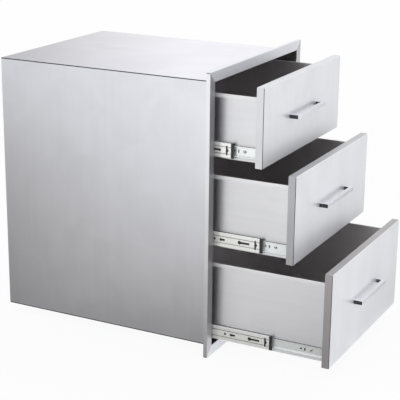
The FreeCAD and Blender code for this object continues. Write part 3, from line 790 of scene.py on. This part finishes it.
# %% Floor
FLOOR_HALF = 12.0
FLOOR_TINT = (0.9, 0.9, 0.9, 1)
SHADOW_SHARE = 0.10


def flat_mesh(name, corners):
    """Makes a flat sheet from its corner points, as an object."""
    mesh = bpy.data.meshes.new(name)
    mesh.from_pydata(corners, [], [tuple(range(len(corners)))])
    sheet = bpy.data.objects.new(name, mesh)
    scene.collection.objects.link(sheet)
    return sheet


def carried_to_the_eye(tree):
    """Gives 1 for rays that carry the floor to the eye, straight or by mirror or glass."""
    path = add_node(tree, "ShaderNodeLightPath").outputs
    first = add_node(tree, "ShaderNodeMath", {0: path["Is Camera Ray"], 1: path["Is Glossy Ray"]},
                     operation="ADD")
    both = add_node(tree, "ShaderNodeMath",
                    {0: first.outputs[0], 1: path["Is Transmission Ray"]},
                    operation="ADD", use_clamp=True)
    return both.outputs[0]


def floor_material():
    """A pale matt floor, lifted to white where it is seen, with part of its shadow kept."""
    material, tree, shader = new_material("floor")
    tree.nodes.remove(shader)
    matt = add_node(tree, "ShaderNodeBsdfDiffuse", {"Color": FLOOR_TINT})
    glow = add_node(tree, "ShaderNodeEmission", {"Color": WHITE, "Strength": 1.0})
    share = add_node(tree, "ShaderNodeMath",
                     {0: carried_to_the_eye(tree), 1: 1.0 - SHADOW_SHARE},
                     operation="MULTIPLY")
    mix = add_node(tree, "ShaderNodeMixShader",
                   {"Fac": share.outputs[0], 1: matt.outputs[0], 2: glow.outputs[0]})
    tree.links.new(mix.outputs[0], tree.nodes["Material Output"].inputs["Surface"])
    return material


floor = flat_mesh("floor", [(-FLOOR_HALF, -FLOOR_HALF, 0), (FLOOR_HALF, -FLOOR_HALF, 0),
                            (FLOOR_HALF, FLOOR_HALF, 0), (-FLOOR_HALF, FLOOR_HALF, 0)])
floor.data.materials.append(floor_material())
floor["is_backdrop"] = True
print("floor:", [round(value, 2) for value in floor.dimensions])

# %% [markdown]
# What the metal mirrors
#
# Brushed metal shows its surroundings more than its own colour. Upright sheet, seen a little
# from above, mirrors the floor beside it, so a floor that is white all over would leave the
# unit without form. In a real studio the floor falls off into shade beside the object and
# towards the camera, where nothing is lit. A card just above the floor on the left does that
# here. Only mirrored rays meet it, so the floor itself stays white. Its brightness rises away
# from the unit, falls to the rear, and falls twice towards the camera, slowly at first and
# then fast. Where it is dark it is also a little warm, as shade is beside daylight.

# %% Shade card
CARD_LEFT = -7.0
CARD_RIGHT = -0.2256
CARD_FRONT = -4.0
CARD_REAR = 6.0
CARD_LIFT = 0.0005
CARD_BASE = 0.42
CARD_RISE_LEFT = 0.62
CARD_FALL_REAR = 0.53
CARD_FALLS_FRONT = ((0.45, 0.50), (-0.08, 1.60))
CARD_DARKEST = 0.04
CARD_BRIGHTEST = 1.25
CARD_WARM = (1.0, 0.96, 0.93, 1)


def shade_card_material():
    """A glow that depends on the place on the card alone."""
    material, tree, shader = new_material("shade card")
    tree.nodes.remove(shader)
    place = add_node(tree, "ShaderNodeTexCoord").outputs["Object"]
    axes = add_node(tree, "ShaderNodeSeparateXYZ", {"Vector": place}).outputs
    across = add_node(tree, "ShaderNodeMath", {0: axes["X"], 1: -CARD_RISE_LEFT, 2: CARD_BASE},
                      operation="MULTIPLY_ADD")
    level = add_node(tree, "ShaderNodeMath",
                     {0: axes["Y"], 1: -CARD_FALL_REAR, 2: across.outputs[0]},
                     operation="MULTIPLY_ADD")
    for turn, fall in CARD_FALLS_FRONT:
        ahead = add_node(tree, "ShaderNodeMath", {0: turn, 1: axes["Y"]}, operation="SUBTRACT")
        ahead_only = add_node(tree, "ShaderNodeMath", {0: ahead.outputs[0], 1: 0.0},
                              operation="MAXIMUM")
        level = add_node(tree, "ShaderNodeMath",
                         {0: ahead_only.outputs[0], 1: -fall, 2: level.outputs[0]},
                         operation="MULTIPLY_ADD")
    held = add_node(tree, "ShaderNodeClamp",
                    {"Value": level.outputs[0], "Min": CARD_DARKEST, "Max": CARD_BRIGHTEST})
    tone = add_node(tree, "ShaderNodeMix",
                    {"Factor": held.outputs[0], "A": CARD_WARM, "B": WHITE},
                    data_type="RGBA")
    glow = add_node(tree, "ShaderNodeEmission",
                    {"Color": tone.outputs["Result"], "Strength": held.outputs[0]})
    tree.links.new(glow.outputs[0], tree.nodes["Material Output"].inputs["Surface"])
    return material


def mirrored_card(name, corners, material):
    """Makes a studio card and hides it from every ray except mirrored ones."""
    card = flat_mesh(name, corners)
    card.data.materials.append(material)
    card.visible_camera = False
    card.visible_diffuse = False
    card.visible_transmission = False
    card.visible_shadow = False
    card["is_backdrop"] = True
    print(name, "dimensions:", [round(value, 2) for value in card.dimensions])


mirrored_card("shade_card", [(CARD_LEFT, CARD_FRONT, CARD_LIFT),
                             (CARD_RIGHT, CARD_FRONT, CARD_LIFT),
                             (CARD_RIGHT, CARD_REAR, CARD_LIFT),
                             (CARD_LEFT, CARD_REAR, CARD_LIFT)], shade_card_material())

# %% [markdown]
# The card in front
#
# The floor to the front right is what the drawer fronts mirror, and it darkens towards the
# unit and to the right. Its card starts where the shade card ends. Its brightness changes
# evenly along one direction: the slope says how much a metre, and the base is the brightness
# at the middle of the trim's foot, where the frame has its origin.

# %% Front card
FRONT_CARD = ((CARD_RIGHT, CARD_FRONT), (5.0, -0.30))
FRONT_SLOPE = (-0.63, -2.13, 0)
FRONT_BASE = 0.01
FRONT_DARKEST = 0.5
FRONT_BRIGHTEST = 1.05


def slope_material(name, slope, base, darkest, brightest):
    """A glow that changes evenly along one direction, by so much a metre."""
    material, tree, shader = new_material(name)
    tree.nodes.remove(shader)
    place = add_node(tree, "ShaderNodeTexCoord").outputs["Object"]
    along = add_node(tree, "ShaderNodeVectorMath", {0: place, 1: slope},
                     operation="DOT_PRODUCT")
    level = add_node(tree, "ShaderNodeMath", {0: along.outputs["Value"], 1: base},
                     operation="ADD")
    held = add_node(tree, "ShaderNodeClamp",
                    {"Value": level.outputs[0], "Min": darkest, "Max": brightest})
    glow = add_node(tree, "ShaderNodeEmission", {"Color": WHITE, "Strength": held.outputs[0]})
    tree.links.new(glow.outputs[0], tree.nodes["Material Output"].inputs["Surface"])
    return material


(left, near), (right, far) = FRONT_CARD
front_glow = slope_material("front card", FRONT_SLOPE, FRONT_BASE, FRONT_DARKEST, FRONT_BRIGHTEST)
mirrored_card("front_card", [(left, near, CARD_LIFT), (right, near, CARD_LIFT),
                             (right, far, CARD_LIFT), (left, far, CARD_LIFT)], front_glow)

# %% [markdown]
# The card behind
#
# The top sheet mirrors what stands upright at the right rear. A card there that brightens to
# the right of the picture gives the sheet a soft slope of light.

# %% Lid card
LID_CARD_X = 4.0
LID_CARD_SPAN = (1.0, 6.0)
LID_CARD_TOP = 4.0
LID_SLOPE = (0, -0.36, 0)
LID_BASE = 1.91
LID_DARKEST = 0.6
LID_BRIGHTEST = 1.09
near, far = LID_CARD_SPAN
lid_glow = slope_material("lid card", LID_SLOPE, LID_BASE, LID_DARKEST, LID_BRIGHTEST)
mirrored_card("lid_card", [(LID_CARD_X, near, 0), (LID_CARD_X, far, 0),
                           (LID_CARD_X, far, LID_CARD_TOP),
                           (LID_CARD_X, near, LID_CARD_TOP)], lid_glow)

# %% [markdown]
# The dark room
#
# Behind the camera the room is dark, and the rough fronts of the trim and the slides catch
# some of it. An upright card of one dark level stands there, square to the line of sight.

# %% Room card
ROOM_AWAY = 4.0
ROOM_HALF = 1.8
ROOM_HEIGHT = 4.0
ROOM_LEVEL = 0.05
NO_SLOPE = (0, 0, 0)
away = Vector((math.sin(CAMERA_AZIMUTH), -math.cos(CAMERA_AZIMUTH), 0))
aside = Vector((away.y, -away.x, 0)) * ROOM_HALF
ends = [away * ROOM_AWAY - aside, away * ROOM_AWAY + aside]
rise = Vector((0, 0, ROOM_HEIGHT))
room_glow = slope_material("room card", NO_SLOPE, ROOM_LEVEL, 0, 1)
mirrored_card("room_card", [ends[0], ends[1], ends[1] + rise, ends[0] + rise], room_glow)

# %% [markdown]
# Size
#
# The box of the whole object and the box of the CAD are both printed. The box of the whole
# object must still be the box of the CAD. They differ only by the few hundredths of a
# millimetre that the seams stand proud.

# %% Print the sizes
low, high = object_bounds()
print("visual box:", [round(value, 4) for value in (*low, *high)])
